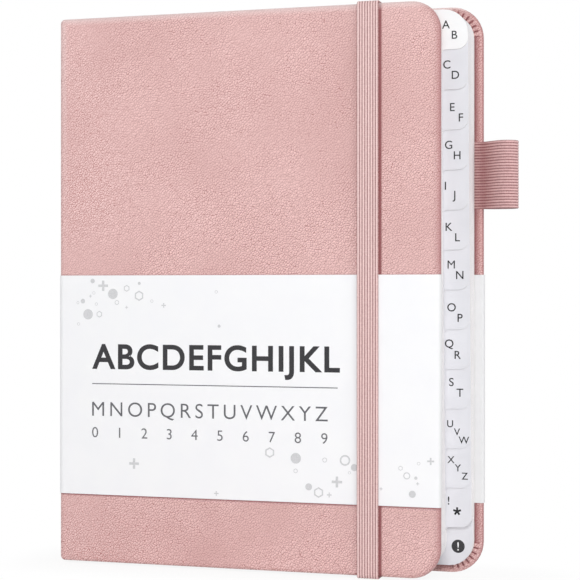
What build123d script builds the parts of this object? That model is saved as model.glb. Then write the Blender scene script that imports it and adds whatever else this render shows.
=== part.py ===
"""Address book with step-cut index tabs, an elastic closure, a pen loop and a paper sleeve.

The book stands on its tail. X runs from the spine to the fore edge, Y from the front cover to the
rear cover and Z up. The origin is the middle of the bottom of the whole book's box. Depths are
measured from the front cover's outer face, and reaches from the spine's outer face.
"""

import os

from build123d import *

# Covers: the rear one is wider, so that the index tabs lie on it beside the front one
cover_height = 210.0
front_cover_width = 150.0
front_corner_radius = 11.0
rear_corner_radius = 12.0
spine_corner_radius = 2.0
hinge_gap = 0.3

# Case materials
leather_thickness = 0.6
turn_in_thickness = 0.4
turn_in_width = 14.0
board_thickness = 1.8
spine_board_thickness = 1.0
edge_roll = 1.1
spine_edge_roll = 0.7
endpaper_thickness = 0.2
endpaper_margin = 3.6

# Pleats where the leather is gathered round a corner
pleat_count = 6
pleat_width = 0.5
pleat_length = 4.0
pleat_fan = 75.0

# Text block: the squares are what the rear cover stands past the leaves
head_square = 3.25
fore_square = 3.3
tab_overlap = 0.3
tab_width = 9.7
page_corner_radius = 9.0
tab_corner_radius = 4.0
notch_radius = 1.5
leaf_thickness = 0.1
letter_leaves = 6
note_leaves = 28
lining_thickness = 0.3
hollow_back_gap = 0.35
letter_sections = (
    "section_ab",
    "section_cd",
    "section_ef",
    "section_gh",
    "section_ij",
    "section_kl",
    "section_mn",
    "section_op",
    "section_qr",
    "section_st",
    "section_uvw",
    "section_xyz",
)
note_sections = (
    "section_notes",
    "section_urgent",
)

# Paper sleeve round the closed covers, with a flap tucked inside each
sleeve_thickness = 0.25
sleeve_bottom = 26.2
sleeve_height = 84.3
sleeve_flap = 42.0

# Elastic closure, anchored through two slots in the rear cover
closure_width = 8.0
closure_thickness = 0.8
closure_inset = 22.8
closure_slot_inset = 15.0
closure_tail = 20.0
closure_bend = 0.6
closure_foot_height = 9.0

# Pen loop of folded elastic webbing, glued into the rear cover
webbing_thickness = 0.9
loop_height = 24.8
loop_bottom = 134.85
loop_reach = 13.2
loop_tail = 16.0
loop_bore_radius = 3.6
loop_rear_bulge = 2.4
loop_neck = 0.6
loop_flare = 3.4
loop_neck_bend = 1.4

# Clearances
paper_clearance = 0.05
slot_clearance = 0.2
cut_margin = 1.0

# Depths of the layers, from the front cover's outer face
cover_thickness = leather_thickness + board_thickness + turn_in_thickness
flap_depth = cover_thickness + endpaper_thickness + paper_clearance
flyleaf_depth = flap_depth + sleeve_thickness + paper_clearance
block_depth = flyleaf_depth + endpaper_thickness + paper_clearance
sheaves = [(name, letter_leaves * leaf_thickness) for name in letter_sections]
sheaves += [(name, note_leaves * leaf_thickness) for name in note_sections]
section_count = len(sheaves)
block_thickness = sum(thickness + paper_clearance for name, thickness in sheaves) - paper_clearance
case_thickness = 2 * block_depth + block_thickness
rear_inner_depth = case_thickness - cover_thickness

# Reaches from the spine's outer face
spine_thickness = leather_thickness + spine_board_thickness + turn_in_thickness
lining_reach = spine_thickness + hollow_back_gap
block_reach = lining_reach + lining_thickness + paper_clearance
cover_reach = spine_corner_radius + hinge_gap
body_reach = front_cover_width - tab_overlap
tab_reach = body_reach + tab_width
rear_cover_width = tab_reach + fore_square
closure_reach = front_cover_width - closure_inset - closure_width / 2

# Place of the book in its box
sleeve_stand_off = paper_clearance + sleeve_thickness
closure_stand_off = sleeve_stand_off + paper_clearance
spine_x = -(rear_cover_width + loop_reach - sleeve_stand_off) / 2
front_y = -(case_thickness + paper_clearance - closure_stand_off) / 2
tail_z = closure_thickness + paper_clearance
page_height = cover_height - 2 * head_square
page_z = tail_z + head_square
tab_pitch = page_height / section_count

# How a box stands on the point that places it
slot_align = (Align.CENTER, Align.MIN, Align.CENTER)
pocket_align = (Align.CENTER, Align.MIN, Align.MIN)
corner_align = (Align.MIN, Align.MIN, Align.MIN)


def upright_plane(depth):
    """Plane of a flat sheet at this depth; what is extruded from it runs towards the front."""
    return Plane.XZ.offset(-(front_y + depth))


def fore_panel(start, end, bottom, height, corner_radius):
    """Face from one reach to another, with its two fore edge corners rounded."""
    left, right, top = spine_x + start, spine_x + end, bottom + height
    with BuildLine() as outline:
        FilletPolyline(
            (left, bottom),
            (right, bottom),
            (right, top),
            (left, top),
            radius=(0, corner_radius, corner_radius, 0),
            close=True,
        )
    make_face(outline.edges())


def build_board(width, corner_radius, depth, outer_side):
    """Cover board: a stiff sheet whose inner face stands up inside the frame of turned-in leather.

    outer_side is -1 for the front cover and 1 for the rear one, and depth is the outer face's.
    """
    sheet_outer = depth - outer_side * leather_thickness
    sheet_inner = sheet_outer - outer_side * board_thickness
    panel_inner = sheet_inner - outer_side * turn_in_thickness
    sheet_height = cover_height - 2 * leather_thickness
    panel_height = cover_height - 2 * turn_in_width
    with BuildPart() as board:
        with BuildSketch(upright_plane(max(sheet_outer, sheet_inner))):
            sheet_end = width - leather_thickness
            sheet_corner = corner_radius - leather_thickness
            fore_panel(cover_reach, sheet_end, tail_z + leather_thickness, sheet_height, sheet_corner)
        extrude(amount=board_thickness)
        with BuildSketch(upright_plane(max(sheet_inner, panel_inner))):
            panel_end = width - turn_in_width
            panel_corner = leather_thickness
            fore_panel(cover_reach, panel_end, tail_z + turn_in_width, panel_height, panel_corner)
        extrude(amount=turn_in_thickness)
    return board.part


def cut_pleats(width, corner_radius, inner_depth):
    """Cut the fan of gathered folds into the turned-in leather at both fore edge corners."""
    centre_x = spine_x + width - corner_radius
    head_z = tail_z + cover_height - corner_radius
    foot_z = tail_z + corner_radius
    first_angle = (90 - pleat_fan) / 2
    middle_radius = corner_radius - edge_roll - pleat_length / 2
    for centre_z, start_angle in ((head_z, first_angle), (foot_z, first_angle - 90)):
        fan = Plane((centre_x, front_y + inner_depth, centre_z), x_dir=(1, 0, 0), z_dir=(0, -1, 0))
        with Locations(fan):
            with PolarLocations(middle_radius, pleat_count, start_angle, pleat_fan, endpoint=True):
                Box(pleat_length, pleat_width, pleat_width, rotation=(45, 0, 0), mode=Mode.SUBTRACT)


def build_cover_leather(width, corner_radius, board, depth, outer_side):
    """Leather rolled over a cover board's three free edges and turned in on its inner face."""
    rear_face_depth = depth if outer_side > 0 else depth + cover_thickness
    with BuildPart() as leather:
        with BuildSketch(upright_plane(rear_face_depth)):
            fore_panel(cover_reach, width, tail_z, cover_height, corner_radius)
        extrude(amount=cover_thickness)
        for face in (leather.faces().sort_by(Axis.Y)[0], leather.faces().sort_by(Axis.Y)[-1]):
            fillet(face.edges().sort_by(Axis.X)[1:], edge_roll)
        add(board, mode=Mode.SUBTRACT)
        cut_pleats(width, corner_radius, depth - outer_side * cover_thickness)
    return leather.part


def cut_rear_passages():
    """Cut the elastic's slots and pockets and the pen loop's seat out of a rear cover layer."""
    slot_width = closure_width + 2 * slot_clearance
    slot_gap = closure_thickness + 2 * slot_clearance
    pocket_length = closure_tail + slot_clearance + slot_gap / 2
    inner_y = front_y + rear_inner_depth - cut_margin
    closure_x = spine_x + closure_reach
    low_slot = tail_z + closure_slot_inset
    high_slot = tail_z + cover_height - closure_slot_inset
    with Locations((closure_x, inner_y, low_slot), (closure_x, inner_y, high_slot)):
        slot_depth = cover_thickness + 2 * cut_margin
        Box(slot_width, slot_depth, slot_gap, align=slot_align, mode=Mode.SUBTRACT)
    low_pocket = low_slot - slot_gap / 2
    high_pocket = high_slot + slot_gap / 2 - pocket_length
    with Locations((closure_x, inner_y, low_pocket), (closure_x, inner_y, high_pocket)):
        pocket_depth = closure_thickness + 2 * paper_clearance + cut_margin
        Box(slot_width, pocket_depth, pocket_length, align=pocket_align, mode=Mode.SUBTRACT)
    seat_x = spine_x + rear_cover_width - loop_tail - slot_clearance
    with Locations((seat_x, inner_y, tail_z + loop_bottom - slot_clearance)):
        seat_length = loop_tail + slot_clearance + cut_margin
        seat_depth = 2 * webbing_thickness + 3 * paper_clearance + cut_margin
        seat_height = loop_height + 2 * slot_clearance
        Box(seat_length, seat_depth, seat_height, align=corner_align, mode=Mode.SUBTRACT)


pieces = []

# Front cover
front_board = build_board(front_cover_width, front_corner_radius, 0, -1)
front_board.label = "front_board"
pieces.append(front_board)

front_leather = build_cover_leather(front_cover_width, front_corner_radius, front_board, 0, -1)
front_leather.label = "front_leather"
pieces.append(front_leather)

with BuildPart() as front_endpaper:
    with BuildSketch(upright_plane(cover_thickness + endpaper_thickness)):
        fore_panel(
            cover_reach,
            front_cover_width - endpaper_margin,
            tail_z + endpaper_margin,
            cover_height - 2 * endpaper_margin,
            front_corner_radius - endpaper_margin,
        )
    extrude(amount=endpaper_thickness)
front_endpaper.part.label = "front_endpaper"
pieces.append(front_endpaper.part)

# Rear cover, with the passages for the elastic and the pen loop
rear_blank = build_board(rear_cover_width, rear_corner_radius, case_thickness, 1)

with BuildPart() as rear_leather:
    add(build_cover_leather(rear_cover_width, rear_corner_radius, rear_blank, case_thickness, 1))
    cut_rear_passages()
rear_leather.part.label = "rear_leather"
pieces.append(rear_leather.part)

with BuildPart() as rear_board:
    add(rear_blank)
    cut_rear_passages()
rear_board.part.label = "rear_board"
pieces.append(rear_board.part)

with BuildPart() as rear_endpaper:
    with BuildSketch(upright_plane(rear_inner_depth)):
        fore_panel(
            cover_reach,
            rear_cover_width - endpaper_margin,
            tail_z + endpaper_margin,
            cover_height - 2 * endpaper_margin,
            rear_corner_radius - endpaper_margin,
        )
    extrude(amount=endpaper_thickness)
rear_endpaper.part.label = "rear_endpaper"
pieces.append(rear_endpaper.part)

# Spine: a narrow board in its own fold of leather, which also turns the two rounded corners
spine_length = case_thickness - 2 * spine_corner_radius
spine_near_y = front_y + spine_corner_radius

with BuildPart() as spine_board:
    with Locations((spine_x + leather_thickness, spine_near_y, tail_z + leather_thickness)):
        sheet_height = cover_height - 2 * leather_thickness
        Box(spine_board_thickness, spine_length, sheet_height, align=corner_align)
    with Locations((spine_x + leather_thickness, spine_near_y, tail_z + turn_in_width)):
        panel_height = cover_height - 2 * turn_in_width
        panel_thickness = spine_board_thickness + turn_in_thickness
        Box(panel_thickness, spine_length, panel_height, align=corner_align)
spine_board.part.label = "spine_board"
pieces.append(spine_board.part)

with BuildPart() as spine_leather:
    with Locations((spine_x, spine_near_y, tail_z)):
        Box(spine_thickness, spine_length, cover_height, align=corner_align)
    for end_face in (spine_leather.faces().sort_by(Axis.Z)[0], spine_leather.faces().sort_by(Axis.Z)[-1]):
        fillet(end_face.edges().sort_by(Axis.X)[0], spine_edge_roll)
    add(spine_board.part, mode=Mode.SUBTRACT)
    with BuildSketch(Plane.XY.offset(tail_z)):
        with BuildLine():
            bend_radius = spine_corner_radius - leather_thickness / 2
            bend_x = spine_x + spine_corner_radius
            CenterArc((bend_x, spine_near_y), bend_radius, 180, 90)
            CenterArc((bend_x, spine_near_y + spine_length), bend_radius, 90, 90)
        trace(line_width=leather_thickness)
    extrude(amount=cover_height)
spine_leather.part.label = "spine_leather"
pieces.append(spine_leather.part)

# Text block: the glued lining, the two flyleaves and the sections of leaves
with BuildPart() as spine_lining:
    with Locations((spine_x + lining_reach, front_y + flyleaf_depth, page_z)):
        lining_width = case_thickness - 2 * flyleaf_depth
        Box(lining_thickness, lining_width, page_height, align=corner_align)
spine_lining.part.label = "spine_lining"
pieces.append(spine_lining.part)

with BuildPart() as front_flyleaf:
    with BuildSketch(upright_plane(flyleaf_depth + endpaper_thickness)):
        fore_panel(block_reach, body_reach, page_z, page_height, page_corner_radius)
    extrude(amount=endpaper_thickness)
front_flyleaf.part.label = "front_flyleaf"
pieces.append(front_flyleaf.part)

with BuildPart() as rear_flyleaf:
    with BuildSketch(upright_plane(case_thickness - flyleaf_depth)):
        fore_panel(block_reach, tab_reach, page_z, page_height, page_corner_radius)
    extrude(amount=endpaper_thickness)
rear_flyleaf.part.label = "rear_flyleaf"
pieces.append(rear_flyleaf.part)


def build_section(index, depth, thickness):
    """Sheaf of leaves, cut away below its own tab so that the later tabs show past it."""
    top = page_z + page_height
    tab_bottom = top - (index + 1) * tab_pitch
    block_x, body_x, tab_x = spine_x + block_reach, spine_x + body_reach, spine_x + tab_reach
    with BuildPart() as section:
        with BuildSketch(upright_plane(depth + thickness)):
            if index == section_count - 1:
                fore_panel(block_reach, tab_reach, page_z, page_height, page_corner_radius)
            else:
                with BuildLine():
                    FilletPolyline(
                        (block_x, page_z),
                        (body_x, page_z),
                        (body_x, tab_bottom),
                        (tab_x, tab_bottom),
                        (tab_x, top),
                        (block_x, top),
                        radius=(0, page_corner_radius, notch_radius, tab_corner_radius, page_corner_radius, 0),
                        close=True,
                    )
                make_face()
        extrude(amount=thickness)
    return section.part


sheaf_depth = block_depth
for sheaf_index, (sheaf_name, sheaf_thickness) in enumerate(sheaves):
    sheaf = build_section(sheaf_index, sheaf_depth, sheaf_thickness)
    sheaf.label = sheaf_name
    pieces.append(sheaf)
    sheaf_depth += sheaf_thickness + paper_clearance

# Paper sleeve, in three lengths that part at the spine's folds
sleeve_z = tail_z + sleeve_bottom
sleeve_layer = paper_clearance + sleeve_thickness / 2
sleeve_fold = edge_roll + sleeve_layer


def build_sleeve_panel(width, outer_depth, inner_depth):
    """Sleeve over one cover, folded round its fore edge into the flap that holds it."""
    start_x = spine_x + cover_reach
    fold_x = spine_x + width + sleeve_layer
    flap_x = spine_x + width - sleeve_flap
    with BuildPart() as panel:
        with BuildSketch(Plane.XY.offset(sleeve_z)):
            with BuildLine():
                FilletPolyline(
                    (start_x, front_y + outer_depth),
                    (fold_x, front_y + outer_depth),
                    (fold_x, front_y + inner_depth),
                    (flap_x, front_y + inner_depth),
                    radius=(sleeve_fold, sleeve_fold),
                )
            trace(line_width=sleeve_thickness)
        extrude(amount=sleeve_height)
    return panel.part


flap_layer = flap_depth + sleeve_thickness / 2
sleeve_front = build_sleeve_panel(front_cover_width, -sleeve_layer, flap_layer)
sleeve_front.label = "sleeve_front"
pieces.append(sleeve_front)

sleeve_rear = build_sleeve_panel(
    rear_cover_width, case_thickness + sleeve_layer, case_thickness - flap_layer
)
sleeve_rear.label = "sleeve_rear"
pieces.append(sleeve_rear)

with BuildPart() as sleeve_spine:
    with BuildSketch(Plane.XY.offset(sleeve_z)):
        with BuildLine():
            sleeve_corner = spine_corner_radius + sleeve_layer
            FilletPolyline(
                (spine_x + spine_corner_radius, front_y - sleeve_layer),
                (spine_x - sleeve_layer, front_y - sleeve_layer),
                (spine_x - sleeve_layer, front_y + case_thickness + sleeve_layer),
                (spine_x + spine_corner_radius, front_y + case_thickness + sleeve_layer),
                radius=(sleeve_corner - sleeve_thickness, sleeve_corner - sleeve_thickness),
            )
        trace(line_width=sleeve_thickness)
    extrude(amount=sleeve_height)
sleeve_spine.part.label = "sleeve_spine"
pieces.append(sleeve_spine.part)

# Elastic closure: the upper length crosses the front, the foot is what the book stands on
elastic_front_y = front_y - closure_stand_off - closure_thickness / 2
elastic_rear_y = front_y + case_thickness + paper_clearance + closure_thickness / 2
elastic_tail_y = front_y + rear_inner_depth + paper_clearance + closure_thickness / 2
elastic_low_z = closure_thickness / 2
elastic_high_z = tail_z + cover_height + paper_clearance + closure_thickness / 2
elastic_split_z = tail_z + closure_foot_height
elastic_corner = edge_roll + closure_thickness / 2
low_slot_z = tail_z + closure_slot_inset
high_slot_z = tail_z + cover_height - closure_slot_inset
elastic_plane = Plane.YZ.offset(spine_x + closure_reach - closure_width / 2)

with BuildPart() as closure_elastic:
    with BuildSketch(elastic_plane):
        with BuildLine():
            FilletPolyline(
                (elastic_front_y, elastic_split_z),
                (elastic_front_y, elastic_high_z),
                (elastic_rear_y, elastic_high_z),
                (elastic_rear_y, high_slot_z),
                (elastic_tail_y, high_slot_z),
                (elastic_tail_y, high_slot_z - closure_tail),
                radius=(elastic_corner, elastic_corner, closure_bend, closure_bend),
            )
        trace(line_width=closure_thickness)
    extrude(amount=closure_width)
closure_elastic.part.label = "closure_elastic"
pieces.append(closure_elastic.part)

with BuildPart() as closure_foot:
    with BuildSketch(elastic_plane):
        with BuildLine():
            FilletPolyline(
                (elastic_front_y, elastic_split_z),
                (elastic_front_y, elastic_low_z),
                (elastic_rear_y, elastic_low_z),
                (elastic_rear_y, low_slot_z),
                (elastic_tail_y, low_slot_z),
                (elastic_tail_y, low_slot_z + closure_tail),
                radius=(elastic_corner, elastic_corner, closure_bend, closure_bend),
            )
        trace(line_width=closure_thickness)
    extrude(amount=closure_width)
closure_foot.part.label = "closure_foot"
pieces.append(closure_foot.part)

# Pen loop: two glued tails, a neck and a round bow for the pen
near_tail_y = front_y + rear_inner_depth + paper_clearance + webbing_thickness / 2
far_tail_y = near_tail_y + webbing_thickness + paper_clearance
bow_radius = loop_bore_radius + webbing_thickness / 2
bow_far_y = far_tail_y + loop_rear_bulge - webbing_thickness
bow_near_y = bow_far_y - 2 * bow_radius
cover_edge_x = spine_x + rear_cover_width
tail_x = cover_edge_x - loop_tail
neck_x = cover_edge_x + loop_neck
flare_x = cover_edge_x + loop_flare
bow_x = cover_edge_x + loop_reach - webbing_thickness / 2

with BuildPart() as pen_loop:
    with BuildSketch(Plane.XY.offset(tail_z + loop_bottom)):
        with BuildLine():
            FilletPolyline(
                (tail_x, near_tail_y),
                (neck_x, near_tail_y),
                (flare_x, bow_near_y),
                (bow_x - bow_radius, bow_near_y),
                radius=(loop_neck_bend, loop_neck_bend),
            )
            CenterArc((bow_x - bow_radius, bow_near_y + bow_radius), bow_radius, -90, 180)
            FilletPolyline(
                (bow_x - bow_radius, bow_far_y),
                (flare_x, bow_far_y),
                (neck_x, far_tail_y),
                (tail_x, far_tail_y),
                radius=(loop_neck_bend, loop_neck_bend),
            )
        trace(line_width=webbing_thickness)
    extrude(amount=loop_height)
pen_loop.part.label = "pen_loop"
pieces.append(pen_loop.part)

os.makedirs("parts", exist_ok=True)
for piece in pieces:
    export_step(piece, f"parts/{piece.label}.step")
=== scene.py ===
"""Looks of the address book: leather case, step-cut index, paper sleeve, elastic closure and pen loop.

Meshes are modelled in millimetres, in the frame's axes: X from the spine to the fore edge, Y from the
front cover to the rear cover, Z up. They are scaled to metres when they are finished.
"""
import math
import random

import bmesh
import bpy
from bmesh.types import BMFace, BMVert
from mathutils import Matrix, Vector


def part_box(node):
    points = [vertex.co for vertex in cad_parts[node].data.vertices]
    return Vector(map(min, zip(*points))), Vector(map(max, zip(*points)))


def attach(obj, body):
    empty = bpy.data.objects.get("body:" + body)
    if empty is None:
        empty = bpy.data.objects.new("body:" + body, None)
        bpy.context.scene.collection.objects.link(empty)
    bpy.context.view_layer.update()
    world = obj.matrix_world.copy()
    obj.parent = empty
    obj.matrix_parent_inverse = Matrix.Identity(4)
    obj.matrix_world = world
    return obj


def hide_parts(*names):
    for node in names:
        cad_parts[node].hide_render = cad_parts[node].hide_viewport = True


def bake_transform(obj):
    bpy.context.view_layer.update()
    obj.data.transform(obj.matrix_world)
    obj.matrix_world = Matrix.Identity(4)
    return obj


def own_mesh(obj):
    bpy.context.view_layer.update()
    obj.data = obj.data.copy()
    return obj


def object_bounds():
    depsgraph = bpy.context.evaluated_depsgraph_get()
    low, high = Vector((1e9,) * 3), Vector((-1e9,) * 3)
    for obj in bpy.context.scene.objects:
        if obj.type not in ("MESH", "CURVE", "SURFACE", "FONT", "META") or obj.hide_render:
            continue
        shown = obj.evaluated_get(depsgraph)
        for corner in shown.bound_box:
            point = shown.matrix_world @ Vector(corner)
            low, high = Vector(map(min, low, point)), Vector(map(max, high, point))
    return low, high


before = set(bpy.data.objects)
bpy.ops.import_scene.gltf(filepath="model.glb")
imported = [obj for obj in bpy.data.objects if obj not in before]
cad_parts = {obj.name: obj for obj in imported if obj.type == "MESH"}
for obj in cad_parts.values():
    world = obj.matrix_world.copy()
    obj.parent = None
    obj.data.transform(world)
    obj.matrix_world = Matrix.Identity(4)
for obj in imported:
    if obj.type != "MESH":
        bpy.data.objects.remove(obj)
cad_low, cad_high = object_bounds()

MM = 0.001


def box_mm(node):
    """Lowest and highest corner of a CAD node, in millimetres."""
    low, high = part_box(node)
    return low / MM, high / MM


# Places read from the frame
front_low, front_high = box_mm("front_leather")
rear_low, rear_high = box_mm("rear_leather")
first_low, first_high = box_mm("section_ab")
fly_low, fly_high = box_mm("front_flyleaf")
loop_low, loop_high = box_mm("pen_loop")
band_low, band_high = box_mm("closure_elastic")
band_foot_z = box_mm("closure_foot")[0].z
wrap_low, wrap_high = box_mm("sleeve_front")
wrap_spine_x = box_mm("sleeve_spine")[0].x
spine_x = box_mm("spine_leather")[0].x
front_y, rear_y = front_low.y, rear_high.y
tail_z, head_z = front_low.z, front_high.z
plate_x = front_low.x
page_z, page_top = first_low.z, first_high.z
block_x, body_x, tab_x = fly_low.x, fly_high.x, first_high.x

# Case
front_corner = 11.0
rear_corner = 12.0
spine_corner = 2.0
cover_thickness = 2.8
strip_thickness = 1.7
spine_thickness = 2.2
outer_roll = 1.8
inner_roll = 0.7
holding_loop = 1.2
roll_segments = 5
outline_segments = 10
degrees_per_step = 9

# Slots that the elastic closure goes through, in the rear cover
slot_inset = 15.0
slot_depth = 1.4
slot_gap = 1.2
slot_room = 0.2
low_slot, high_slot = tail_z + slot_inset, head_z - slot_inset

# Painted shade on the leather's fore edge roll, painted shadow on the strip beside the leaves, and a
# painted highlight along its head edge
rim_width = 3.0
rim_darkness = 0.7
rim_fall = 1.7
strip_darkness = 0.85
strip_width = 3.3
head_highlight = 0.6
head_highlight_width = 3.0

# Painted shadow on the front leather beside the elastic and along the sleeve's edges: places, and how dark
# it is there
band_shadow_across = (
    (band_low.x - 0.5, 0.0),
    (band_low.x - 0.05, 0.3),
    (band_low.x + 0.5, 0.0),
    (band_high.x - 0.3, 0.0),
    (band_high.x + 0.3, 0.95),
    (band_high.x + 0.7, 0.9),
    (band_high.x + 1.5, 0.0),
)
sleeve_shadow_up = (
    (wrap_low.z - 0.9, 0.0),
    (wrap_low.z - 0.15, 0.9),
    (wrap_high.z + 0.1, 0.3),
    (wrap_high.z + 0.6, 0.0),
)

# Pleats of the gathered corners, with painted shade in the slits between them
pleat_count = 7
pleat_columns, pleat_rows = 16, 12
pleat_height = 0.45
pleat_start, pleat_end = 8.2, 11.3
pleat_fade = 10.2
pleat_fan = 84.0
pleat_base = 0.2
pleat_lift = 0.01
pleat_lean = 0.8
pleat_fullness = 0.45
slit_share = 0.36
slit_least = 0.3
pleat_darkness = 0.15

# Leaves
page_corner = 9.0
tab_corner = 4.0
notch_corner = 1.5
leaf_pitch = 0.1
leaf_thickness = 0.096
leaf_slip = 0.03
leaf_segments = 7
bend_length = 16.0
bend_cuts = 8

# Index labels: the first sign's distance from the fore edge and its height over the tab's lower edge;
# the next signs step down to the right
sections = (
    ("section_ab", "AB", 8.0, 9.0),
    ("section_cd", "CD", 7.8, 9.1),
    ("section_ef", "EF", 5.9, 8.2),
    ("section_gh", "GH", 7.4, 9.1),
    ("section_ij", "IJ", 8.7, 8.8),
    ("section_kl", "KL", 7.5, 8.4),
    ("section_mn", "MN", 6.8, 9.2),
    ("section_op", "OP", 6.8, 8.1),
    ("section_qr", "QR", 7.8, 9.1),
    ("section_st", "ST", 7.1, 9.8),
    ("section_uvw", "UVW", 7.7, 9.0),
    ("section_xyz", "XYZ", 7.5, 10.3),
    ("section_notes", "!*", 8.5, 9.7),
    ("section_urgent", "", 5.5, 7.1),
)
tab_pitch = (page_top - page_z) / len(sections)
label_capital = 2.9
label_step = Vector((3.15, 0, -3.85))
small_capital = 2.5
small_step = Vector((2.55, 0, -2.95))
star_radius = 1.5
label_weight = 0.006
urgent_radius = 2.45
urgent_capital = 3.0
urgent_weight = 0.004

# Lettering: height of the built-in font's capitals at size 1, and the thickness and stand-off of ink
font_capital = 0.682
ink_depth = 0.01
ink_gap = 0.015
arms_of = {"cross": 4, "star": 5}
arm_share = 0.24
ring_share = 0.3
face_front = Matrix.Rotation(math.pi / 2, 4, "X")

# Elastic closure and pen loop
band_ribs = 8
band_thickness = 0.8
band_groove = 0.5
band_corner = 1.5
band_bend = 0.6
band_overlap = 0.1
loop_ribs = 24
webbing = 0.9
webbing_groove = 0.55
webbing_proud = 0.3
loop_depth = 1.5
loop_tail = 3.5
loop_neck = 0.9
near_bend, near_radius = 40, 4.0
far_bend, far_radius = 20, 2.5
# Painted shade in the pen loop's crease at the cover's edge: how dark, and how wide
crease_darkness = 0.45
crease_width = 2.7
segments_per_rib = 8
rib_unevenness = 0.12

# Sleeve
sleeve_thickness = 0.25
sleeve_fold = 1.275
sleeve_corner = 2.125
sleeve_flap = 42.0
# Painted shade on the sleeve's fore-edge fold and the flap behind it: how dark, and over what depth it
# deepens
sleeve_shade = 0.27
shade_depth = 0.3

# Printing on the sleeve: rows of plain letters and digits, with a rule between them
print_y = wrap_low.y - ink_gap
print_left, print_right = -73.8, 24.0
rule_z, rule_height = 69.7, 0.35

# Scatter of small signs: its two middles, each with its spread and its number of tries
scatter_seed = 11
scatter_sources = (((58.0, 31.0), (28.0, 11.0), 110), ((-78.0, 106.0), (24.0, 7.0), 60))
scatter_kinds = ("ring", "disc", "hexagon", "cross")
scatter_sizes = (0.6, 0.9, 1.3, 2.0)
scatter_room, fore_room, edge_room = 4.0, 2.0, 1.0
scatter_gap = 0.6

# Distance within which two places are the same
touch = 1e-3


def only(kind, geom):
    return [element for element in geom if isinstance(element, kind)]


def lies_at(element, axis, value):
    """Whether all corners of an edge or face are at one value of an axis."""
    return all(abs(v.co[axis] - value) < touch for v in element.verts)


def region(faces):
    """Faces with their edges and corners."""
    edges = {e for f in faces for e in f.edges}
    verts = {v for f in faces for v in f.verts}
    return [*faces, *edges, *verts]


def cut_whole(bm, planes):
    """Cut a mesh by planes, each a place and a normal."""
    for place, normal in planes:
        whole = [*bm.verts, *bm.edges, *bm.faces]
        bmesh.ops.bisect_plane(bm, geom=whole, plane_co=place, plane_no=normal)


def clear_inside(bm, faces):
    """Delete the faces that a run has closed in."""
    inside = [f for f in faces if f.is_valid and any(len(e.link_faces) > 2 for e in f.edges)]
    bmesh.ops.delete(bm, geom=inside, context="FACES")


def grow(bm, faces, move):
    """Carry a region of faces straight along a move, and give the region at its new place."""
    grown = bmesh.ops.extrude_face_region(bm, geom=faces)["geom"]
    bmesh.ops.translate(bm, verts=only(BMVert, grown), vec=move)
    clear_inside(bm, faces)
    return only(BMFace, grown)


def turn(bm, faces, centre, axis, degrees):
    """Carry a region of faces round a bend, and give the region at its new place."""
    steps = max(3, round(abs(degrees) / degrees_per_step))
    angle = math.radians(degrees)
    spun = bmesh.ops.spin(bm, geom=region(faces), cent=centre, axis=axis, angle=angle, steps=steps)
    clear_inside(bm, faces)
    return only(BMFace, spun["geom_last"])


def sweep(bm, faces, place, heading, axis, legs):
    """Carry a cross section along legs, each a straight length and the bend that follows it."""
    place, heading, axis = Vector(place), Vector(heading), Vector(axis)
    for length, radius, degrees in legs:
        if length:
            faces = grow(bm, faces, heading * length)
            place = place + heading * length
        if degrees:
            centre = place + axis.cross(heading) * math.copysign(radius, degrees)
            faces = turn(bm, faces, centre, axis, degrees)
            rotation = Matrix.Rotation(math.radians(degrees), 3, axis)
            place = centre + rotation @ (place - centre)
            heading = rotation @ heading


def bevel(bm, geom, radius, segments=roll_segments, affect="EDGES"):
    bmesh.ops.bevel(
        bm,
        geom=geom,
        offset=radius,
        offset_type="OFFSET",
        affect=affect,
        segments=segments,
        profile=0.5,
        material=-1,
    )


def rectangle(left, right, low, high):
    return ((left, low), (right, low), (right, high), (left, high))


def upright_outline(bm, corners, radii, depth, segments=outline_segments):
    """Upright face at a depth, with each corner rounded by its own radius."""
    verts = [bm.verts.new((x, depth, z)) for x, z in corners]
    bm.faces.new(verts)
    for vert, radius in zip(verts, radii):
        if radius:
            bevel(bm, [vert], radius, segments, affect="VERTICES")
    return list(bm.faces)


def add_object(name, data):
    made = bpy.data.objects.new(name, data)
    bpy.context.scene.collection.objects.link(made)
    return made


def finish_piece(bm, name, material, sharp_degrees=40, closed=True):
    """Turn a mesh in millimetres into a smooth-shaded object in metres."""
    if closed:
        bmesh.ops.recalc_face_normals(bm, faces=bm.faces)
    for face in bm.faces:
        face.smooth = True
    for edge in bm.edges:
        edge.smooth = len(edge.link_faces) == 2 and edge.calc_face_angle() < math.radians(sharp_degrees)
    bm.transform(Matrix.Scale(MM, 4))
    mesh = bpy.data.meshes.new(name)
    bm.to_mesh(mesh)
    bm.free()
    mesh.materials.append(material)
    return add_object(name, mesh)


# Materials: colours are as they show on a screen, lengths in metres, scales to a metre
leather_crease, leather_top = (178, 121, 118), (248, 210, 207)
# Colours of painted shade on leather, of the painted highlight on its head edge, and of painted shade on
# paper
leather_painted_shade = (132, 62, 66)
leather_highlight = (244, 228, 226)
paper_painted_shade = (120, 119, 118)
# Colour of painted light on the leaves' cut edges
painted_edge_light = (248, 244, 243)
leaf_ruling = (186, 190, 200)
# Colour of painted shade on the webbing
woven_painted_shade = (118, 38, 42)
ink_unevenness = 14

# Leather grain; its cells have a scale, a stretch and the width of their creases
warp_scale, warp_reach = 700.0, 0.0011
side_shear = 0.7
grain_slant = math.radians(-48)
pebble_cells = (1130.0, 0.85, 0.15)
wrinkle_cells = (420.0, 0.3, 0.13)
wrinkle_depth = 0.32
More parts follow.
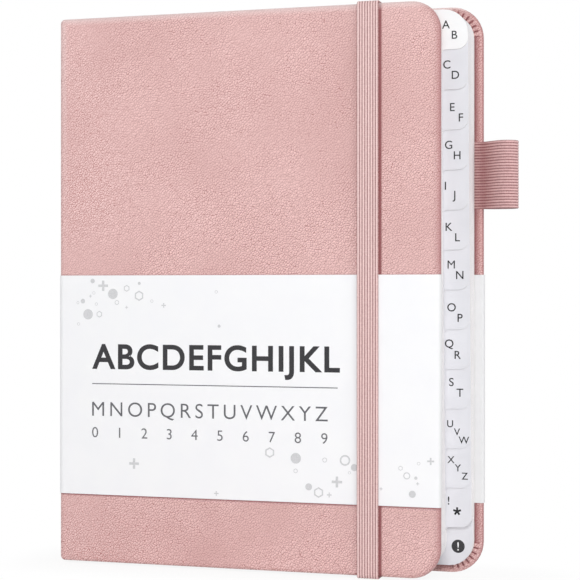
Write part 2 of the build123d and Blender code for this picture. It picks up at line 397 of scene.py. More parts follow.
# Painted light and shade of the grain's relief: the step between the two heights compared, and its share
# of the tone
light_step, painted_light_share = 0.00013, 0.34
crease_tone, top_tone = 0.27, 0.67
crease_roughness, top_roughness = 0.68, 0.5
leather_bump = (0.4, 0.00012)
patch_scale = 45.0
faint_grain, strong_grain = 0.65, 1.4
drift_scale = 24.0
ground_tone, tone_drift = 0.535, 0.08

# Paper fibres and ruled lines, and the threads of woven bands
fibre_scale, cloud_scale = 2600.0, 90.0
fibre_depth = 0.00005
line_pitch, line_half_width = 0.0075, 0.016
ruled_across, ruled_up = (0.012, 0.138), (0.012, 0.19)
fuzz_scale, fuzz_depth = 1500.0, 0.12
tick_depth = 0.45
woven_bump = (0.35, 0.0001)


def srgb(red, green, blue):
    """Colour as it shows on a screen, from 0 to 255, made linear."""
    shares = [value / 255 for value in (red, green, blue)]
    linear = [s / 12.92 if s <= 0.04045 else ((s + 0.055) / 1.055) ** 2.4 for s in shares]
    return (*linear, 1.0)


def add_node(tree, kind, settings=None, inputs=None):
    """Add a node; each input is a value, or a socket to join."""
    node = tree.nodes.new("ShaderNode" + kind)
    for name, value in (settings or {}).items():
        setattr(node, name, value)
    for name, value in (inputs or {}).items():
        if isinstance(value, bpy.types.NodeSocket):
            tree.links.new(value, node.inputs[name])
        else:
            node.inputs[name].default_value = value
    return node


def math_node(tree, operation, first, second=0.0, clamp=False):
    settings = {"operation": operation, "use_clamp": clamp}
    return add_node(tree, "Math", settings, {0: first, 1: second}).outputs[0]


def vector_node(tree, operation, first, second=(0, 0, 0)):
    return add_node(tree, "VectorMath", {"operation": operation}, {0: first, 1: second}).outputs[0]


def noise(tree, where, scale, detail):
    return add_node(tree, "TexNoise", {}, {"Vector": where, "Scale": scale, "Detail": detail}).outputs


def object_place(tree):
    return add_node(tree, "TexCoord").outputs["Object"]


def mix_colour(tree, share, first, second):
    node = add_node(tree, "Mix", {"data_type": "RGBA"}, {0: share, 6: first, 7: second})
    return node.outputs[2]


def tint(tree, colour, name, other):
    """Mix a colour with another, by the share that the mesh carries under a name."""
    share = add_node(tree, "Attribute", {"attribute_name": name}).outputs["Fac"]
    return mix_colour(tree, share, colour, srgb(*other))


def spread(tree, value, low, high, to_low=0.0, to_high=1.0):
    """Map a value's range onto another, held at both ends."""
    inputs = {"Value": value, "From Min": low, "From Max": high, "To Min": to_low, "To Max": to_high}
    return add_node(tree, "MapRange", {}, inputs).outputs["Result"]


def new_group(name, values=()):
    """Node group that makes a height and a tone from a place and some values; gives its tree and ends."""
    tree = bpy.data.node_groups.new(name, "ShaderNodeTree")
    tree.interface.new_socket("Vector", in_out="INPUT", socket_type="NodeSocketVector")
    for socket in values:
        tree.interface.new_socket(socket, in_out="INPUT", socket_type="NodeSocketFloat")
    for socket in ("Height", "Tone"):
        tree.interface.new_socket(socket, in_out="OUTPUT", socket_type="NodeSocketFloat")
    return tree, tree.nodes.new("NodeGroupInput").outputs, tree.nodes.new("NodeGroupOutput").inputs


def build_leather_grain():
    """Fine cells with dark creases on a light ground, and longer slanting wrinkles.

    The grain is stronger in patches, its tone drifts slowly, and its relief is painted as light and shade
    from above.
    """
    tree, start, end = new_group("leather_grain")
    where = start["Vector"]
    warp = {0: noise(tree, where, warp_scale, 2.0)["Color"], "Scale": warp_reach}
    bend = add_node(tree, "VectorMath", {"operation": "SCALE"}, warp).outputs[0]
    bent = vector_node(tree, "ADD", where, bend)
    x, y, z = add_node(tree, "SeparateXYZ", {}, {"Vector": bent}).outputs
    across = math_node(tree, "ADD", x, y)
    up = math_node(tree, "ADD", z, math_node(tree, "MULTIPLY", y, side_shear))
    sheet = add_node(tree, "CombineXYZ", {}, {"X": across, "Y": up}).outputs[0]
    drift = noise(tree, where, drift_scale, 2.0)["Fac"]
    wrinkled = spread(tree, drift, 0.42, 0.62, 0.0, wrinkle_depth)

    def cells(vector, scale, stretch, crease):
        drawn_out = add_node(tree, "Mapping", {}, {"Vector": vector, "Scale": (stretch, 1, 1)}).outputs[0]
        flat_edges = {"feature": "DISTANCE_TO_EDGE", "voronoi_dimensions": "2D"}
        edges = add_node(tree, "TexVoronoi", flat_edges, {"Vector": drawn_out, "Scale": scale})
        return spread(tree, edges.outputs["Distance"], 0.0, crease)

    def height_at(shift):
        turned = {"Vector": vector_node(tree, "ADD", sheet, shift), "Rotation": (0, 0, grain_slant)}
        slant = add_node(tree, "Mapping", {}, turned).outputs[0]
        gaps = math_node(tree, "SUBTRACT", 1.0, cells(slant, *wrinkle_cells))
        wrinkles = math_node(tree, "SUBTRACT", 1.0, math_node(tree, "MULTIPLY", gaps, wrinkled))
        return math_node(tree, "MULTIPLY", cells(slant, *pebble_cells), wrinkles)

    # Painted light and shade: the height a little lower and right, less the height a little higher and
    # left, lightens pebbles' upper edges
    height = height_at((light_step / 2, -light_step, 0))
    relief = math_node(tree, "SUBTRACT", height, height_at((-light_step / 2, light_step, 0)))
    lit = math_node(tree, "MULTIPLY", relief, painted_light_share)
    even = math_node(tree, "ADD", lit, spread(tree, height, 0.0, 1.0, crease_tone, top_tone))
    patches = noise(tree, where, patch_scale, 2.0)["Fac"]
    strength = spread(tree, patches, 0.36, 0.64, faint_grain, strong_grain)
    relief_tone = math_node(tree, "MULTIPLY", math_node(tree, "SUBTRACT", even, ground_tone), strength)
    ground = spread(tree, drift, 0.35, 0.65, ground_tone - tone_drift, ground_tone + tone_drift)
    tree.links.new(height, end["Height"])
    tree.links.new(math_node(tree, "ADD", relief_tone, ground, clamp=True), end["Tone"])
    return tree


def build_paper_fibre():
    """Faint cloudy fibres of uncoated paper."""
    tree, start, end = new_group("paper_fibre")
    tree.links.new(noise(tree, start["Vector"], fibre_scale, 3.0)["Fac"], end["Height"])
    tree.links.new(noise(tree, start["Vector"], cloud_scale, 4.0)["Fac"], end["Tone"])
    return tree


def build_thread_weave():
    """Threads of a woven band: light on the ribs, painted shade in the grooves, and dark ticks of the
    weave along them.
    """
    tree, start, end = new_group("thread_weave", ("Crest", "Along", "Thread Pitch"))
    turns = math_node(tree, "DIVIDE", start["Along"], start["Thread Pitch"])
    wave = math_node(tree, "SINE", math_node(tree, "MULTIPLY", turns, 2 * math.pi))
    tick = spread(tree, wave, -1.0, 1.0)
    groove = math_node(tree, "POWER", math_node(tree, "SUBTRACT", 1.0, start["Crest"]), 3.0)
    ticked = math_node(tree, "MULTIPLY", math_node(tree, "MULTIPLY", groove, tick), tick_depth)
    fuzz = noise(tree, start["Vector"], fuzz_scale, 3.0)["Fac"]
    fuzzy = spread(tree, fuzz, 0.3, 0.7, -fuzz_depth, fuzz_depth)
    lifted = math_node(tree, "ADD", start["Crest"], fuzzy)
    tree.links.new(math_node(tree, "SUBTRACT", lifted, ticked, clamp=True), end["Tone"])
    tree.links.new(math_node(tree, "MULTIPLY", wave, 0.5), end["Height"])
    return tree


leather_grain = build_leather_grain()
paper_fibre = build_paper_fibre()
thread_weave = build_thread_weave()


def new_material(name, roughness, specular):
    """Empty material; gives it, its tree and its Principled shader."""
    material = bpy.data.materials.new(name)
    material.use_nodes = True
    shader = material.node_tree.nodes["Principled BSDF"]
    shader.inputs["Roughness"].default_value = roughness
    shader.inputs["Specular IOR Level"].default_value = specular
    return material, material.node_tree, shader


def add_group(tree, group, inputs):
    return add_node(tree, "Group", {"node_tree": group}, inputs).outputs


def add_bump(tree, shader, height, strength, distance):
    bump = add_node(tree, "Bump", {}, {"Height": height, "Strength": strength, "Distance": distance})
    tree.links.new(bump.outputs["Normal"], shader.inputs["Normal"])


def leather_material(name, shade):
    """Pink leather: darker in its creases, with painted shade where the mesh carries it and a painted
    highlight along its head edge.

    shade is what the colour of the grain is multiplied by.
    """
    material, tree, shader = new_material(name, 0.55, 0.35)
    shader.inputs["Sheen Weight"].default_value = 0.2
    grain = add_group(tree, leather_grain, {"Vector": object_place(tree)})
    dark = [value * shade for value in srgb(*leather_crease)[:3]] + [1.0]
    light = [value * shade for value in srgb(*leather_top)[:3]] + [1.0]
    colour = mix_colour(tree, grain["Tone"], dark, light)
    colour = tint(tree, colour, "painted_shade", leather_painted_shade)
    colour = tint(tree, colour, "painted_highlight", leather_highlight)
    tree.links.new(colour, shader.inputs["Base Color"])
    roughness = spread(tree, grain["Height"], 0.0, 1.0, crease_roughness, top_roughness)
    tree.links.new(roughness, shader.inputs["Roughness"])
    add_bump(tree, shader, grain["Height"], *leather_bump)
    return material


def cloudy_paper(tree, fibre, dark, light):
    return mix_colour(tree, spread(tree, fibre["Tone"], 0.35, 0.65), srgb(*dark), srgb(*light))


def paper_material(name, dark, light, bump=0.1):
    """Plain paper, with painted shade where the mesh carries it."""
    material, tree, shader = new_material(name, 0.75, 0.25)
    fibre = add_group(tree, paper_fibre, {"Vector": object_place(tree)})
    colour = tint(tree, cloudy_paper(tree, fibre, dark, light), "painted_shade", paper_painted_shade)
    tree.links.new(colour, shader.inputs["Base Color"])
    add_bump(tree, shader, fibre["Height"], bump, fibre_depth)
    return material


def leaf_material(name, dark, light):
    """Page paper with painted light on its cut edges, and faint ruled lines.

    The pattern follows the leaf's own UV map when it turns.
    """
    material, tree, shader = new_material(name, 0.75, 0.25)
    where = add_node(tree, "UVMap", {"uv_map": "leaf"}).outputs["UV"]
    fibre = add_group(tree, paper_fibre, {"Vector": where})
    paper = tint(tree, cloudy_paper(tree, fibre, dark, light), "cut_edge", painted_edge_light)
    across, up, _ = add_node(tree, "SeparateXYZ", {}, {"Vector": where}).outputs
    place = math_node(tree, "FRACT", math_node(tree, "DIVIDE", up, line_pitch))
    on_line = math_node(tree, "COMPARE", place, 0.5)
    on_line.node.inputs[2].default_value = line_half_width
    for value, (low, high) in ((across, ruled_across), (up, ruled_up)):
        on_line = math_node(tree, "MULTIPLY", on_line, math_node(tree, "GREATER_THAN", value, low))
        on_line = math_node(tree, "MULTIPLY", on_line, math_node(tree, "LESS_THAN", value, high))
    colour = mix_colour(tree, on_line, paper, srgb(*leaf_ruling))
    tree.links.new(colour, shader.inputs["Base Color"])
    add_bump(tree, shader, fibre["Height"], 0.08, fibre_depth)
    return material


def woven_material(name, dark, light, along, pitch):
    """Woven elastic, with painted shade where the mesh carries it.

    along names the object axis that the band runs along in its longest stretch.
    """
    material, tree, shader = new_material(name, 0.7, 0.3)
    shader.inputs["Sheen Weight"].default_value = 0.15
    where = object_place(tree)
    crest = add_node(tree, "Attribute", {"attribute_name": "crest"}).outputs["Fac"]
    run = add_node(tree, "SeparateXYZ", {}, {"Vector": where}).outputs[along]
    weave_inputs = {"Crest": crest, "Along": run, "Vector": where, "Thread Pitch": pitch}
    weave = add_group(tree, thread_weave, weave_inputs)
    colour = mix_colour(tree, weave["Tone"], srgb(*dark), srgb(*light))
    tree.links.new(tint(tree, colour, "painted_shade", woven_painted_shade), shader.inputs["Base Color"])
    add_bump(tree, shader, weave["Height"], *woven_bump)
    return material


def ink_material(name, colour):
    """Printing ink, a little uneven as it lies on the paper's fibres."""
    material, tree, shader = new_material(name, 0.6, 0.3)
    fibre = add_group(tree, paper_fibre, {"Vector": object_place(tree)})
    pale = [min(255, value + ink_unevenness) for value in colour]
    uneven = spread(tree, fibre["Height"], 0.35, 0.75)
    tree.links.new(mix_colour(tree, uneven, srgb(*colour), srgb(*pale)), shader.inputs["Base Color"])
    return material


leather = leather_material("pink_leather", 1.0)
# A darker copy of the leather, painted shade, for the gathered corners
shaded_turned_leather = leather_material("shaded_turned_leather", 0.92)
# The first section's paper is the leaf paper made whiter: painted light
painted_lit_first_paper = leaf_material("painted_lit_first_tab_paper", (246, 246, 247), (250, 250, 250))
leaf_paper = leaf_material("leaf_paper", (224, 224, 229), (228, 228, 233))
end_paper = paper_material("end_paper", (240, 237, 232), (245, 242, 237))
sleeve_paper = paper_material("sleeve_paper", (249, 249, 251), (251, 251, 252), bump=0.05)
grey_board = paper_material("grey_board", (158, 152, 144), (178, 172, 163), bump=0.4)
lining_gauze = paper_material("lining_gauze", (224, 220, 208), (236, 232, 222), bump=0.5)
band_elastic = woven_material("band_elastic", (160, 112, 112), (247, 217, 214), "Z", 0.00075)
loop_webbing = woven_material("loop_webbing", (136, 89, 89), (226, 185, 184), "X", 0.0008)
dark_ink = ink_material("dark_ink", (48, 47, 50))
label_ink = ink_material("label_ink", (26, 26, 28))
grey_ink = ink_material("grey_ink", (96, 96, 100))
pale_ink = ink_material("pale_ink", (206, 206, 208))
white_ink = ink_material("white_ink", (238, 238, 240))


# Case; a side is -1 for the front cover and 1 for the rear one


def outer_face(side):
    """Depth of a cover's outer face."""
    return front_y if side < 0 else rear_y


def cut_closure_slots(bm, cover_face):
    """Recess the two slots that the elastic closure goes through, in the rear cover's outer face."""
    left = band_low.x - slot_room
    right = band_high.x + slot_room
    slots = (low_slot, high_slot)
    cuts = [((x, 0, 0), (1, 0, 0)) for x in (left, right)]
    cuts += [((0, 0, z + half), (0, 0, 1)) for z in slots for half in (-slot_gap / 2, slot_gap / 2)]
    faces = [cover_face]
    for place, normal in cuts:
        cut = bmesh.ops.bisect_plane(bm, geom=region(faces), plane_co=place, plane_no=normal)
        faces = only(BMFace, cut["geom"])
    for z in slots:
        middle = Vector(((left + right) / 2, rear_y, z))
        slot = min(faces, key=lambda f: (f.calc_center_bounds() - middle).length)
        grow(bm, [slot], (0, -slot_depth, 0))
        faces = [f for f in faces if f.is_valid]


def paint_cover_shade(bm, side, fore_x, corner):
    """Paint shade on a cover's fore edge roll, painted shadow of the leaves on the rear strip beside them,
    and painted shadow on the front beside the elastic and the sleeve.
    """
    if side < 0:
        cut_whole(bm, [((x, 0, 0), (1, 0, 0)) for x, darkness in band_shadow_across])
        cut_whole(bm, [((0, 0, z), (0, 0, 1)) for z, darkness in sleeve_shadow_up])
    painted_shade = bm.verts.layers.float.new("painted_shade")
    middle_z = (tail_z + head_z) / 2
    straight = (head_z - tail_z) / 2 - corner
    for vert in bm.verts:
        past_x = max(0.0, vert.co.x - fore_x + corner)
        past_z = max(0.0, abs(vert.co.z - middle_z) - straight)
        past = math.hypot(past_x, past_z)
        inwards = corner - past
        if past_x > 0:
            # Painted shade on the fore edge roll
            rim = max(0.0, 1 - inwards / rim_width) ** rim_fall
            vert[painted_shade] = rim_darkness * rim * past_x / past
        # Painted shadow of the leaves on the rear cover's inner strip
        if side > 0 and rear_y - vert.co.y > cover_thickness - touch:
            vert[painted_shade] = strip_darkness * min(1.0, inwards / strip_width)
        # Painted shadow beside the elastic and along the sleeve's edges
        if side < 0 and vert.co.y < front_y + outer_roll:
            for value, places in ((vert.co.x, band_shadow_across), (vert.co.z, sleeve_shadow_up)):
                shadowed = [darkness for place, darkness in places if abs(value - place) < touch]
                vert[painted_shade] = max(vert[painted_shade], *shadowed, 0.0)


def paint_head_highlight(bm):
    """Paint a highlight along the leather's head edge."""
    painted_highlight = bm.verts.layers.float.new("painted_highlight")
    for vert in bm.verts:
        vert[painted_highlight] = head_highlight * max(0.0, 1 - (head_z - vert.co.z) / head_highlight_width)


def build_cover_skin(name, side, fore_x, corner, node):
    """Leather of one cover, rolled over its edges, with the strip that turns onto the spine."""
    outer_y = outer_face(side)
    inner_y = outer_y - side * cover_thickness
    bm = bmesh.new()
    corners = rectangle(plate_x, fore_x, tail_z, head_z)
    faces = upright_outline(bm, corners, (0, corner, corner, 0), inner_y)
    grow(bm, faces, (0, outer_y - inner_y, 0))
    for depth, radius in ((outer_y, outer_roll), (inner_y, inner_roll)):
        rim = [e for e in bm.edges if lies_at(e, 1, depth) and not lies_at(e, 0, plate_x)]
        bevel(bm, rim, radius)
    for depth in (outer_y, inner_y):
        level = [f for f in bm.faces if lies_at(f, 1, depth)]
        flat = max(level, key=lambda f: f.calc_area())
        bmesh.ops.inset_region(bm, faces=[flat], thickness=holding_loop, use_even_offset=True)
        if side > 0 and depth == inner_y:
            rest = strip_width - inner_roll - holding_loop
            bmesh.ops.inset_region(bm, faces=[flat], thickness=rest, use_even_offset=True)
        if side > 0 and depth == outer_y:
            cut_closure_slots(bm, flat)
    strip_y = outer_y - side * strip_thickness
    cut_whole(bm, [((0, strip_y, 0), (0, 1, 0))])
    ends = [f for f in bm.faces if lies_at(f, 0, plate_x)]
    strip_end = [f for f in ends if (f.calc_center_bounds().y - strip_y) * side > 0]
    lead = grow(bm, strip_end, (spine_x + spine_corner - plate_x, 0, 0))
    bend_centre = (spine_x + spine_corner, outer_y - side * spine_corner, 0)
    turn(bm, lead, bend_centre, (0, 0, 1), side * 90)
    paint_cover_shade(bm, side, fore_x, corner)
    paint_head_highlight(bm)
    piece = finish_piece(bm, name, leather)
    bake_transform(piece)
    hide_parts(node)


def build_spine_skin():
    """Leather of the spine's flat back, rolled at its head and tail."""
    bm = bmesh.new()
    low_y, high_y = front_y + spine_corner, rear_y - spine_corner
    corners = rectangle(spine_x, spine_x + spine_thickness, tail_z, head_z)
    faces = upright_outline(bm, corners, (0, 0, 0, 0), low_y)
    grow(bm, faces, (0, high_y - low_y, 0))
    rim = [e for e in bm.edges if lies_at(e, 0, spine_x) and lies_at(e, 2, e.verts[0].co.z)]
    bevel(bm, rim, outer_roll)
    paint_head_highlight(bm)
    piece = finish_piece(bm, "spine_skin", leather)
    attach(piece, "spine")
    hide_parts("spine_leather")


def pleat_shape(share, radius):
    """Height of the gathered leather at a share of one pleat's width, and the share of painted shade in
    its fold.

    Lobes lean over narrow folds, darkened by painted shade, which fade towards the cover's edge.
    """
    outward = min(1.0, max(0.0, (radius - pleat_fade) / (pleat_end - pleat_fade)))
    remains = 1 - outward * outward * (3 - 2 * outward)
    lobe = math.sin(math.pi * share**pleat_lean) ** pleat_fullness if 0 < share < 1 else 0.0
    slit = slit_share * (slit_least + (1 - slit_least) * remains)
    painted_shade = max(0.0, 1 - min(share, 1 - share) / slit)
    return pleat_height * lobe * remains, painted_shade * remains


def build_pleats(name, body, centre, corner_degrees, outer_radius, side):
    """Fan of gathered leather at one fore edge corner, on a cover's inner face."""
    centre_x, inner_y, centre_z = centre
    bm = bmesh.new()
    slit_shade = bm.verts.layers.float.new("painted_shade")
    bmesh.ops.create_grid(bm, x_segments=pleat_count * pleat_columns, y_segments=pleat_rows, size=0.5)
    faces = list(bm.faces)
    for vert in bm.verts:
        share = (vert.co.x + 0.5) * pleat_count % 1
        radius = pleat_start + (vert.co.y + 0.5) * (pleat_end - pleat_start)
        swell, slit = pleat_shape(share, radius)
        # Painted shade in the slits, and a faint painted shade over the rear fans
        vert[slit_shade] = max(pleat_darkness if side > 0 else 0.0, slit)
        angle = math.radians(corner_degrees + vert.co.x * pleat_fan)
        reach = radius + outer_radius - rear_corner
        vert.co = (
            centre_x + reach * math.cos(angle),
            inner_y - side * (swell + pleat_lift),
            centre_z + reach * math.sin(angle),
        )
    grow(bm, faces, (0, side * pleat_base, 0))
    piece = finish_piece(bm, name, shaded_turned_leather, sharp_degrees=70)
    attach(piece, body)


build_cover_skin("front_skin", -1, front_high.x, front_corner, "front_leather")
build_cover_skin("rear_skin", 1, rear_high.x, rear_corner, "rear_leather")
build_spine_skin()
for cover, inner_y, fore_x, corner, side in (
    ("front", front_high.y, front_high.x, front_corner, -1),
    ("rear", rear_low.y, rear_high.x, rear_corner, 1),
):
    for end, centre_z, degrees in (("head", head_z - corner, 45), ("tail", tail_z + corner, -45)):
        centre = (fore_x - corner, inner_y, centre_z)
        build_pleats(f"{cover}_pleats_{end}", f"{cover}_cover", centre, degrees, corner, side)


# Leaves and index labels


def build_sheaf(node, corners, radii, material, count, thickness):
    """Leaves of one section, each a thin sheet, which bend near the spine as they turn."""
    slips = random.Random(node)
    bm = bmesh.new()
    faces = upright_outline(bm, corners, radii, box_mm(node)[0].y, leaf_segments)
    grow(bm, faces, (0, thickness, 0))
    bends = [block_x + bend_length * k / bend_cuts for k in range(1, bend_cuts + 1)]
    cut_whole(bm, [((x, 0, 0), (1, 0, 0)) for x in bends])
    uv_map = bm.loops.layers.uv.new("leaf")
    cut_edge = bm.faces.layers.float.new("cut_edge")
    bm.normal_update()
    for face in bm.faces:
        # Sideways faces are the cut edges, which get painted light
        face[cut_edge] = 1.0 if abs(face.normal.y) < 0.5 else 0.0
        for loop in face.loops:
            loop[uv_map].uv = ((loop.vert.co.x - block_x) * MM, (loop.vert.co.z - page_z) * MM)
    leaf = [*bm.verts, *bm.edges, *bm.faces]
    for k in range(1, count):
        copied = bmesh.ops.duplicate(bm, geom=leaf)["geom"]
        slip = (-slips.uniform(0, leaf_slip), leaf_pitch * k, slips.uniform(-leaf_slip, leaf_slip) / 2)
        bmesh.ops.translate(bm, verts=only(BMVert, copied), vec=slip)
    piece = finish_piece(bm, f"{node}_sheaf", material, sharp_degrees=30)
    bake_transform(piece)
    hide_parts(node)


def add_ink(bm, text, capital, place, weight=0.0, spacing=1.0, anchor=0.5):
    """Add lettering that faces the front, half its height level with a place.

    anchor is the share of its width that is at the place: 0 for the left end, 0.5 for the middle.
    """
    curve = bpy.data.curves.new("ink", "FONT")
    curve.body = text
    curve.offset = weight
    curve.space_character = spacing
    curve.extrude = ink_depth / 2 * font_capital / capital
    holder = bpy.data.objects.new("ink", curve)
    mesh = bpy.data.meshes.new_from_object(holder)
    across = [vert.co.x for vert in mesh.vertices]
    up = [vert.co.y for vert in mesh.vertices]
    anchor_x = min(across) + (max(across) - min(across)) * anchor
    scale = Matrix.Scale(capital / font_capital, 4)
    mesh.transform(Matrix.Translation((-anchor_x, -(min(up) + max(up)) / 2, 0)))
    mesh.transform(Matrix.Translation(place) @ face_front @ scale)
    bm.from_mesh(mesh)
    bpy.data.objects.remove(holder)
    bpy.data.curves.remove(curve)
    bpy.data.meshes.remove(mesh)


def finish_ink(bm, name, material, body):
    piece = finish_piece(bm, name, material, sharp_degrees=30)
    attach(piece, body)


def add_motif(bm, kind, radius, place):
    """One small sign: a ring, a disc, a hexagon, a cross or a star."""
    shape = bmesh.new()
    if kind in arms_of:
        arms = arms_of[kind]
        arm = radius * arm_share
        between = math.pi / arms
        fork = arm / math.sin(between)
        notch = (fork * math.cos(between), fork * math.sin(between), 0)
        outline = ((radius, -arm, 0), (radius, arm, 0), notch)
        turns = [Matrix.Rotation(math.pi / 2 + 2 * between * k, 3, "Z") for k in range(arms)]
        shape.faces.new([shape.verts.new(turned @ Vector(point)) for turned in turns for point in outline])
    else:
        sides = 6 if kind == "hexagon" else 24
        bmesh.ops.create_circle(shape, cap_ends=True, segments=sides, radius=radius)
        if kind != "disc":
            middle = list(shape.faces)
            ring_width = radius * ring_share
            bmesh.ops.inset_region(shape, faces=middle, thickness=ring_width, use_boundary=True)
            bmesh.ops.delete(shape, geom=middle, context="FACES")
    grow(shape, list(shape.faces), (0, 0, -ink_depth / 2))
    shape.transform(Matrix.Translation(place) @ face_front)
    mesh = bpy.data.meshes.new("motif")
    shape.to_mesh(mesh)
    shape.free()
    bm.from_mesh(mesh)
    bpy.data.meshes.remove(mesh)


def build_label(node, signs, place):
    """Index signs on a section's tab, stepping down to the right.

    The built-in font's M stays as it is, as its outline can't be thickened.
    """
    bm = bmesh.new()
    small = len(signs) > 2
    for sign in signs:
        if sign == "*":
            add_motif(bm, "star", star_radius, place)
        else:
            weight = 0.0 if sign == "M" else label_weight
            add_ink(bm, sign, small_capital if small else label_capital, place, weight)
        place = place + (small_step if small else label_step)
    finish_ink(bm, f"{node}_label", label_ink, f"{node}_leaves")


def build_urgent_label(node, place):
    """Dark disc with a white sign on the last tab."""
    bm = bmesh.new()
    upright = Matrix.Translation(place) @ face_front
    bmesh.ops.create_circle(bm, cap_ends=True, segments=48, radius=urgent_radius, matrix=upright)
    grow(bm, list(bm.faces), (0, ink_depth / 2, 0))
    finish_ink(bm, f"{node}_disc", dark_ink, f"{node}_leaves")
    bm = bmesh.new()
    add_ink(bm, "!", urgent_capital, place - Vector((0, ink_gap, 0)), urgent_weight)
    finish_ink(bm, f"{node}_sign", white_ink, f"{node}_leaves")


last = len(sections) - 1
page_radii = (0, page_corner, page_corner, 0)
for index, (node, signs, lead, rise) in enumerate(sections):
    low, high = box_mm(node)
    tab_bottom = page_top - (index + 1) * tab_pitch
    place = Vector((tab_x - lead, low.y - ink_gap, tab_bottom + rise))
    if index == last:
        corners = rectangle(block_x, tab_x, page_z, page_top)
        radii = page_radii
        build_urgent_label(node, place)
    else:
        corners = ((block_x, page_z), (body_x, page_z), (body_x, tab_bottom))
        corners += ((tab_x, tab_bottom), (tab_x, page_top), (block_x, page_top))
        radii = (0, page_corner, notch_corner, tab_corner, page_corner, 0)
        build_label(node, signs, place)
    leaf_count = round((high.y - low.y) / leaf_pitch)
    paper = painted_lit_first_paper if index == 0 else leaf_paper
    build_sheaf(node, corners, radii, paper, leaf_count, leaf_thickness)

fly_corners = rectangle(block_x, body_x, page_z, page_top)
build_sheaf("front_flyleaf", fly_corners, page_radii, end_paper, 1, fly_high.y - fly_low.y)


# Paper sleeve and its printing


def build_sleeve(name, path, folds, body=None):
    """Strip of card along a path of (x, y) points, with its folds rounded.

    body is the cover that it lies on; only whether one is given is read: with one the card stays where it
    is built, without one it rides on the spine.
    """
    bm = bmesh.new()
    verts = [bm.verts.new((x, y, wrap_low.z)) for x, y in path]
    for first, second in zip(verts, verts[1:]):
        bm.edges.new((first, second))
    grown = bmesh.ops.extrude_edge_only(bm, edges=list(bm.edges))["geom"]
    bmesh.ops.translate(bm, verts=only(BMVert, grown), vec=(0, 0, wrap_high.z - wrap_low.z))
    for (x, y), radius in folds:
        edges = [e for e in bm.edges if lies_at(e, 0, x) and lies_at(e, 1, y)]
        bevel(bm, edges, radius, segments=6)
    # Painted shade on the card's fore-edge fold and the flap behind it
    painted_shade = bm.verts.layers.float.new("painted_shade")
    for vert in bm.verts:
        if vert.co.x > 0:
            depth = abs(vert.co.y - path[1][1])
            vert[painted_shade] = sleeve_shade * min(1.0, depth / shade_depth)
    piece = finish_piece(bm, f"{name}_card", sleeve_paper, closed=False)
    card = piece.modifiers.new("card", "SOLIDIFY")
    card.thickness = sleeve_thickness * MM
    card.offset = 0
    if body:
        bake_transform(piece)
    else:
        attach(piece, "spine")
    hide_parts(name)


def build_sleeve_cover(name, side, cover_x, body):
    """Sleeve over one cover: from the spine's corner, over the cover and round its fore edge."""
    layer = sleeve_thickness / 2
    low, high = box_mm(name)
    outer, inner = low.y + layer, high.y - layer
    if side > 0:
        outer, inner = inner, outer
    spine_face = wrap_spine_x + layer
    fold_x = high.x - layer
    start = (spine_face, outer_face(side) - side * spine_corner)
    spine_fold, fore_fold, flap_fold = (spine_face, outer), (fold_x, outer), (fold_x, inner)
    path = (start, spine_fold, fore_fold, flap_fold, (cover_x - sleeve_flap, inner))
    folds = ((spine_fold, sleeve_corner), (fore_fold, sleeve_fold), (flap_fold, sleeve_fold))
    build_sleeve(name, path, folds, body)


build_sleeve_cover("sleeve_front", -1, front_high.x, "front_cover")
build_sleeve_cover("sleeve_rear", 1, rear_high.x, "rear_cover")
spine_face = wrap_spine_x + sleeve_thickness / 2
spine_path = ((spine_face, front_y + spine_corner), (spine_face, rear_y - spine_corner))
build_sleeve("sleeve_spine", spine_path, ())

# Rows: height of capitals, place, weight, spacing and ink
rows = (
    ("letters_bold", "ABCDEFGHIJKL", 9.0, 78.7, 0.022, 1.12, dark_ink),
    ("letters_light", "MNOPQRSTUVWXYZ", 5.4, 59.5, -0.004, 1.35, grey_ink),
    ("digits_light", "0 1 2 3 4 5 6 7 8 9", 3.9, 51.0, -0.004, 2.0, grey_ink),
)


def build_printing():
    for name, text, capital, row_z, weight, spacing, material in rows:
        bm = bmesh.new()
        add_ink(bm, text, capital, Vector((print_left, print_y, row_z)), weight, spacing, anchor=0.0)
        finish_ink(bm, f"print_{name}", material, "front_cover")
    bm = bmesh.new()
    rule_size = Matrix.Diagonal((print_right - print_left, rule_height, 1, 1))
    rule_place = Matrix.Translation(((print_left + print_right) / 2, print_y, rule_z))
    upright = rule_place @ face_front @ rule_size
    bmesh.ops.create_grid(bm, x_segments=1, y_segments=1, size=0.5, matrix=upright)
    grow(bm, list(bm.faces), (0, ink_depth / 2, 0))
    finish_ink(bm, "print_rule", grey_ink, "front_cover")


def build_scatter():
    """Pale scatter of small signs, dense in the sleeve's lower right and upper left."""
    draw = random.Random(scatter_seed)
    bm = bmesh.new()
    low_text, high_text = rows[-1][3] - scatter_room, rows[0][3] + 2 * scatter_room
    placed = []
    for (centre_x, centre_z), (wide, tall), count in scatter_sources:
        for k in range(count):
            x = draw.gauss(centre_x, wide)
            z = draw.gauss(centre_z, tall)
            radius = draw.choice(scatter_sizes)
            kind = draw.choice(scatter_kinds)
            inside_x = spine_x + scatter_room + radius < x < front_high.x - fore_room - radius
            inside_z = wrap_low.z + edge_room + radius < z < wrap_high.z - edge_room - radius
            in_text = x < print_right + fore_room and low_text < z < high_text
            apart = all(math.dist((x, z), other) > radius + taken + scatter_gap for other, taken in placed)
            if inside_x and inside_z and apart and not in_text:
                add_motif(bm, kind, radius, Vector((x, print_y, z)))
                placed.append(((x, z), radius))
    finish_ink(bm, "print_scatter", pale_ink, "front_cover")


build_printing()
build_scatter()


# Elastic closure and pen loop


def rib_lobe(across, width, ribs, levels):
    """Height of a woven band's surface: 0 in a groove, and on each rib the rib's own level."""
    rib, share = divmod(across / width * ribs, 1)
    return abs(math.sin(math.pi * share)) * levels[int(rib) % ribs]


